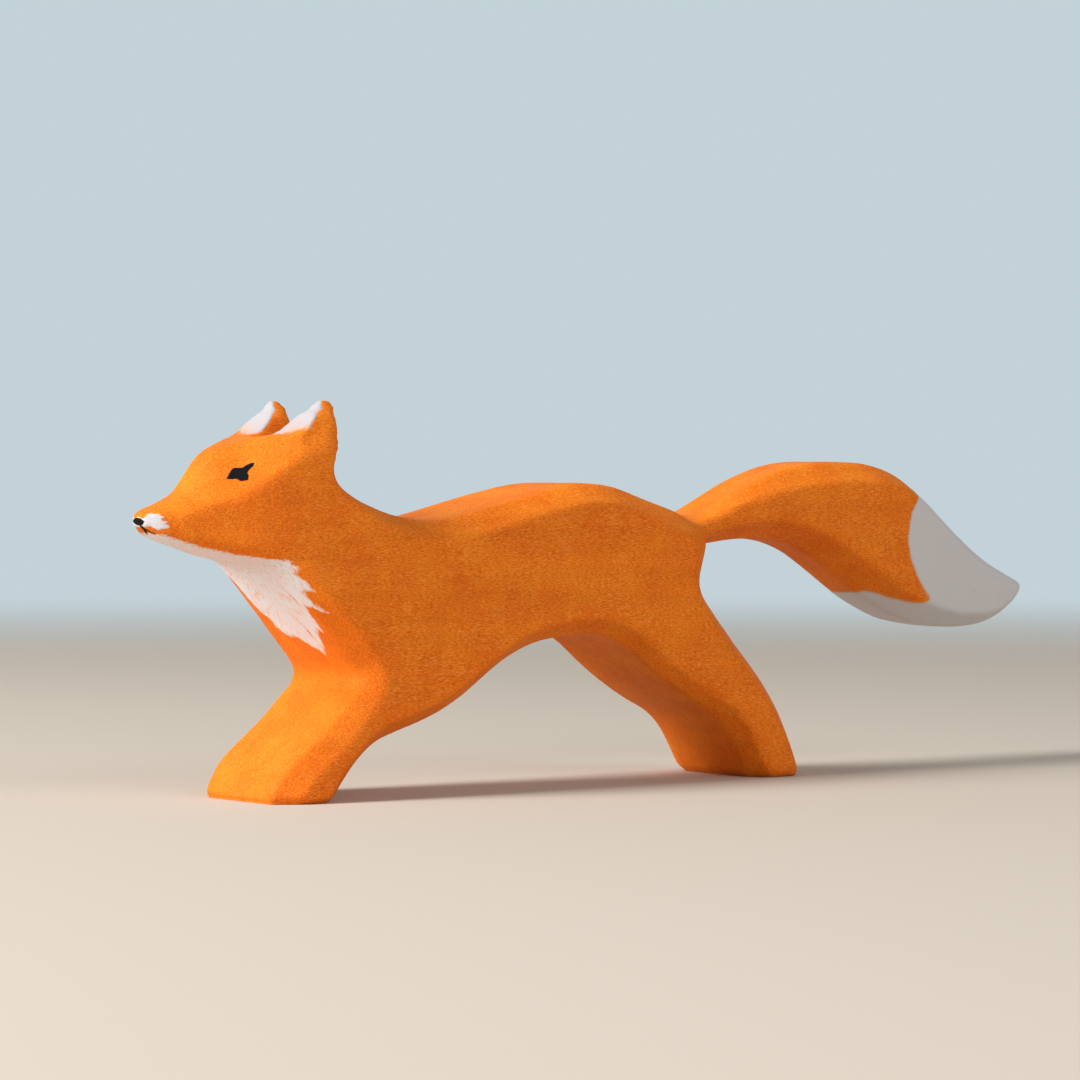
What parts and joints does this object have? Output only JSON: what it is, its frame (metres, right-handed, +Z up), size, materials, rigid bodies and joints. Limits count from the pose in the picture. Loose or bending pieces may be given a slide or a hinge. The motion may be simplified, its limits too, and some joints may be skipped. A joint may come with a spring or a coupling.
{
  "type": "fox figurine",
  "caption": "Running fox carved from one board, with bevelled edges, flat soles to stand on, notched ears, a full brush tail and painted face, bib and tail tip.",
  "frame": {"origin": "middle of the footprint, on the floor under the soles", "axes": "+X from nose to tail, +Z up, -Y is the side that the fox shows when its nose points left"},
  "size_m": [0.1743, 0.024, 0.0602],
  "materials": {
    "stained_wood": "water stain on sanded wood, oiled, satin",
    "white_paint": "thin brushed white water paint, matt",
    "black_paint": "brushed black water paint, matt"
  },
  "bodies": {
    "root": {"wood_body": "stained_wood", "tail_tip_coat": "white_paint", "bib_coat": "white_paint", "muzzle_coat": "white_paint", "left_ear_coat": "white_paint", "right_ear_coat": "white_paint", "nose_coat": "black_paint", "mouth_line": "black_paint", "left_eye_mark": "black_paint", "right_eye_mark": "black_paint"}
  },
  "joints": []
}
